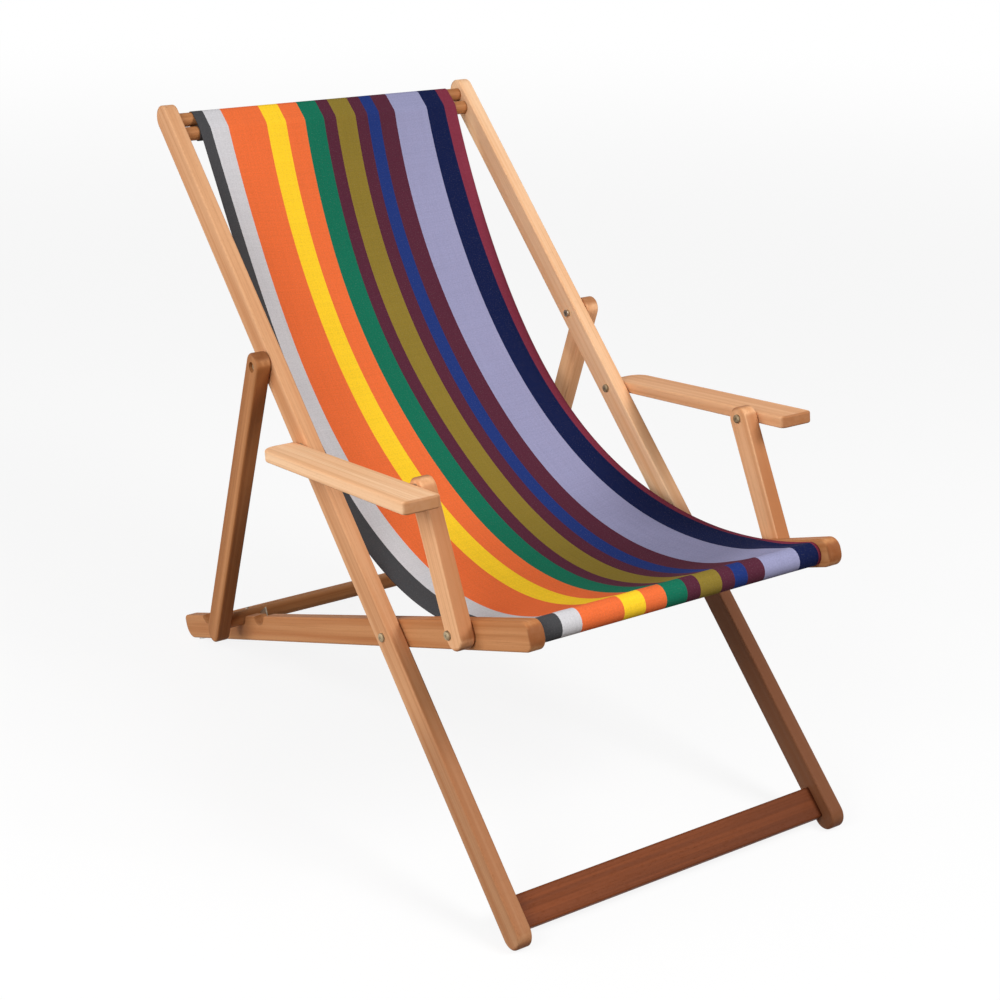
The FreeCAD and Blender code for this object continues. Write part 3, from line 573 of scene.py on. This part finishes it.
def canvas(name):
    """Striped canvas: solid warp stripes, with the threads showing as faint lines both ways."""
    material, shader, start = new_material(name)
    cloth = start.node("ShaderNodeUVMap", {"uv_map": "cloth"})
    total = sum(width for width, _ in STRIPES)
    stops, place = [], 0.0
    for width, colour in STRIPES:
        stops.append((place / total, paint(*colour)))
        place += width
    fuzz = cloth.noise(FUZZ_FINENESS, 2.0) * FUZZ_DEPTH
    share = (cloth.part("X") + fuzz - FUZZ_DEPTH / 2) / total
    stripes = share.node("ShaderNodeValToRGB", {"stops": stops, "interpolation": "CONSTANT"}, {0: share})
    grain = cloth.noise(GRAIN_FINENESS, 2.0)
    faded = cloth.noise(FADED_FINENESS, 3.0)
    threads, slubs = both_ways(cloth, *THREADS), both_ways(cloth, *SLUBS)
    down = cloth.part("Y")
    # Painted shade on the seat, stronger to the right
    painted_seat_shade = down.ramp(*SEAT_FROM) * down.fade(*SEAT_TO) * (SEAT_SHADE[0] + share * SEAT_SHADE[1])
    shade = 0.54 + threads * 0.16 + slubs * 0.26 + grain * 0.38 + faded * 0.12 - painted_seat_shade
    colour = start.node("ShaderNodeHueSaturation", None, {"Value": shade, "Color": stripes})
    lint = cloth.noise(LINT_FINENESS, 1.0).ramp(0.60, 0.74) * LINT_STRENGTH
    colour = lint.tint(colour, paint(*FIBRE))
    finish(shader, start, colour, 0.84 + threads * 0.1, threads * 0.6 + slubs * 0.4, CLOTH_RELIEF)
    shader.inputs["Specular IOR Level"].default_value = CLOTH_SHEEN
    return material


sling.data.materials.append(canvas("canvas"))
thick = sling.modifiers.new("thickness", "SOLIDIFY")
thick.thickness = CLOTH
thick.offset = 0.0

# The pocket is closed by two rows of stitches in pale thread, across the strip of cloth that lies
# behind the two top dowels.
SEAM_GAP = 0.005
SEAM_INSET = 0.008
STITCH_PITCH = 0.0042
STITCH_LENGTH = 0.0029
THREAD = 0.0007
SUNK = 0.2
SWAY = 0.12
COTTON = (214, 208, 196)
TWIST_LINES = (2600, 900, 900)
TWIST_SLANT = 35
TWIST_RELIEF = 0.0001
COTTON_SHEEN = 0.1


def stitch_tree(material):
    """Lays a stitch at every step along the lines of a mesh."""
    tree = bpy.data.node_groups.new("stitches_on_lines", "GeometryNodeTree")
    tree.interface.new_socket("Lines", in_out="INPUT", socket_type="NodeSocketGeometry")
    for name in ("Pitch", "Stitch Length", "Thread"):
        tree.interface.new_socket(name, in_out="INPUT", socket_type="NodeSocketFloat")
    tree.interface.new_socket("Stitches", in_out="OUTPUT", socket_type="NodeSocketGeometry")

    def add(kind, settings=None, inputs=None):
        return Signal(tree).node(kind, settings, inputs).socket.node

    def out(made, name=0):
        return Signal(tree, made.outputs[name])

    given = tree.nodes.new("NodeGroupInput")
    curves = add("GeometryNodeMeshToCurve", None, {"Mesh": out(given, "Lines")})
    stepped = add("GeometryNodeResampleCurve", {"mode": "LENGTH"},
                  {"Curve": out(curves), "Length": out(given, "Pitch")})
    ball = add("GeometryNodeMeshUVSphere", None, {"Segments": 8, "Rings": 5, "Radius": 0.5})
    size = add("ShaderNodeCombineXYZ", None,
               {0: out(given, "Stitch Length"), 1: out(given, "Thread"), 2: out(given, "Thread")})
    shaped = add("GeometryNodeTransform", None, {"Geometry": out(ball), "Scale": out(size)})
    sway = add("FunctionNodeRandomValue", {"data_type": "FLOAT"}, {2: -SWAY, 3: SWAY, "Seed": 7})
    turn = add("ShaderNodeCombineXYZ", None, {2: Signal(tree, sway.outputs[1])})
    laid = add("GeometryNodeInstanceOnPoints", None,
               {"Points": out(stepped), "Instance": out(shaped), "Rotation": out(turn)})
    real = add("GeometryNodeRealizeInstances", None, {"Geometry": out(laid)})
    done = add("GeometryNodeSetMaterial", None, {"Geometry": out(real), "Material": material})
    leave = tree.nodes.new("NodeGroupOutput")
    tree.links.new(done.outputs[0], leave.inputs["Stitches"])
    return tree


def sewn(name, seams, tree, sizes):
    """The stitches along seams, each a pair of points, as one plain mesh."""
    ends = [end for seam in seams for end in seam]
    thread_lines = bpy.data.meshes.new(f"{name}_lines")
    thread_lines.from_pydata(ends, [(2 * index, 2 * index + 1) for index in range(len(seams))], [])
    guide = bpy.data.objects.new(f"{name}_guide", thread_lines)
    bpy.context.scene.collection.objects.link(guide)
    sewing = guide.modifiers.new("sewing", "NODES")
    sewing.node_group = tree
    for item in tree.interface.items_tree:
        if item.in_out == "INPUT" and item.name in sizes:
            sewing[item.identifier] = sizes[item.name]
    bpy.context.view_layer.update()
    depsgraph = bpy.context.evaluated_depsgraph_get()
    made = bpy.data.meshes.new_from_object(guide.evaluated_get(depsgraph))
    bpy.data.objects.remove(guide)
    made.shade_smooth()
    piece = bpy.data.objects.new(name, made)
    bpy.context.scene.collection.objects.link(piece)
    return piece


def cotton(name, tone):
    """Twisted thread, with painted shade in its grooves."""
    material, shader, start = new_material(name)
    twist = start.object_place().mapped(turn=(0, 0, TWIST_SLANT), scale=TWIST_LINES).noise()
    # Painted shade in the grooves of the twist
    colour = twist.ramp(0.35, 0.65).tint(paint(*tone), shaded(paint(*tone), 0.6))
    finish(shader, start, colour, 0.8 + twist * 0.1, twist, TWIST_RELIEF)
    shader.inputs["Specular IOR Level"].default_value = COTTON_SHEEN
    return material


outside = hug + CLOTH / 2 + THREAD * SUNK
seams = []
for offset in (-SEAM_GAP / 2, SEAM_GAP / 2):
    part = 0.5 + offset / spacing
    height = lower + (upper - lower) * part
    y, z = beside(height, stile_angle, outside)
    seams.append(((-half_width + SEAM_INSET, y, z), (half_width - SEAM_INSET, y, z)))
thread = cotton("seam_thread", COTTON)
sizes = {"Pitch": STITCH_PITCH, "Stitch Length": STITCH_LENGTH, "Thread": THREAD}
stitches = sewn("pocket_stitches", seams, stitch_tree(thread), sizes)
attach(stitches, "back_frame")

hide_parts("sling")
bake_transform(sling)

# The studio: a wide pale floor that goes over into a white background, with soft light from above. The
# camera sees the floor as nearly white, and as white far off, but it throws less light up at the chair.
FLOOR_REACH = 12.0
FLOOR_SEEN = 0.86
FLOOR_FADE = (2.0, 8.0)
FLOOR_PALE = paint(250, 250, 250)
FLOOR_BOUNCE = paint(112, 106, 100)

floor_mesh = bpy.data.meshes.new("floor")
corners = [(-1, -1), (1, -1), (1, 1), (-1, 1)]
floor_mesh.from_pydata([(x * FLOOR_REACH, y * FLOOR_REACH, 0) for x, y in corners], [], [(0, 1, 2, 3)])
floor = bpy.data.objects.new("floor", floor_mesh)
bpy.context.scene.collection.objects.link(floor)
pale, shader, start = new_material("floor_pale")
shader.inputs["Roughness"].default_value = 0.9
shader.inputs["Specular IOR Level"].default_value = 0.0


def looked_at(start):
    """1 for rays from the camera, straight or by way of a glossy surface, and 0 for the rest."""
    path = start.node("ShaderNodeLightPath").socket.node
    return Signal(start.tree, path.outputs["Is Camera Ray"]).math(
        "MAXIMUM", Signal(start.tree, path.outputs["Is Glossy Ray"]))


seen = looked_at(start)
start.tree.links.new(seen.tint(FLOOR_BOUNCE, FLOOR_PALE).socket, shader.inputs["Base Color"])
glow = start.node("ShaderNodeEmission", None, {"Color": (1, 1, 1, 1), "Strength": 1.0})
place = start.object_place()
far = place.node("ShaderNodeVectorMath", {"operation": "LENGTH"}, {0: place}, "Value").ramp(*FLOOR_FADE)
whiteness = seen * (FLOOR_SEEN + far * (1 - FLOOR_SEEN))
surface = {0: whiteness, 1: Signal(start.tree, shader.outputs[0]), 2: glow}
mixed = start.node("ShaderNodeMixShader", None, surface)
start.tree.links.new(mixed.socket, start.tree.nodes["Material Output"].inputs["Surface"])
floor_mesh.materials.append(pale)

AMBIENT = 0.24
world = bpy.data.worlds.new("studio")
bpy.context.scene.world = world
world.use_nodes = True
start = Signal(world.node_tree)
background = world.node_tree.nodes["Background"]
strength = AMBIENT + looked_at(start) * (1 - AMBIENT)
world.node_tree.links.new(strength.socket, background.inputs["Strength"])
background.inputs["Color"].default_value = (1, 1, 1, 1)


def lamp(name, place, aim, size, power):
    """A square soft lamp at a place, turned towards another."""
    data = bpy.data.lights.new(name, "AREA")
    data.size = size
    data.energy = power
    light = bpy.data.objects.new(name, data)
    light.location = place
    light.rotation_euler = (Vector(aim) - Vector(place)).to_track_quat("-Z", "Y").to_euler()
    bpy.context.scene.collection.objects.link(light)


CHAIR_MIDDLE = (0, 0.1, 0.5)
lamp("key", (1.3, -2.4, 2.9), CHAIR_MIDDLE, size=1.4, power=92)
lamp("left_front", (-2.8, -1.1, 2.2), CHAIR_MIDDLE, size=1.8, power=62)
lamp("left_back", (-3.0, 1.3, 1.0), CHAIR_MIDDLE, size=1.8, power=36)

# The camera stands to the front left of the chair, a little below the eye height of someone standing.
CAMERA_PLACE = (-1.4397, -1.9902, 1.461589)
CAMERA_AHEAD = (0.5237, 0.7871, -0.3259)
CAMERA_RIGHT = (0.8362, -0.5480, 0.0202)

camera_data = bpy.data.cameras.new("camera")
camera_data.lens = 66.34
camera_data.shift_x = 0.01034
camera_data.shift_y = -0.10846
camera = bpy.data.objects.new("camera", camera_data)
ahead = Vector(CAMERA_AHEAD).normalized()
right = Vector(CAMERA_RIGHT)
right = (right - ahead * right.dot(ahead)).normalized()
up = right.cross(ahead)
turned = Matrix((right, up, -ahead)).transposed().to_4x4()
camera.matrix_world = Matrix.Translation(CAMERA_PLACE) @ turned
bpy.context.scene.collection.objects.link(camera)
bpy.context.scene.camera = camera
bpy.context.scene.view_settings.view_transform = "Standard"
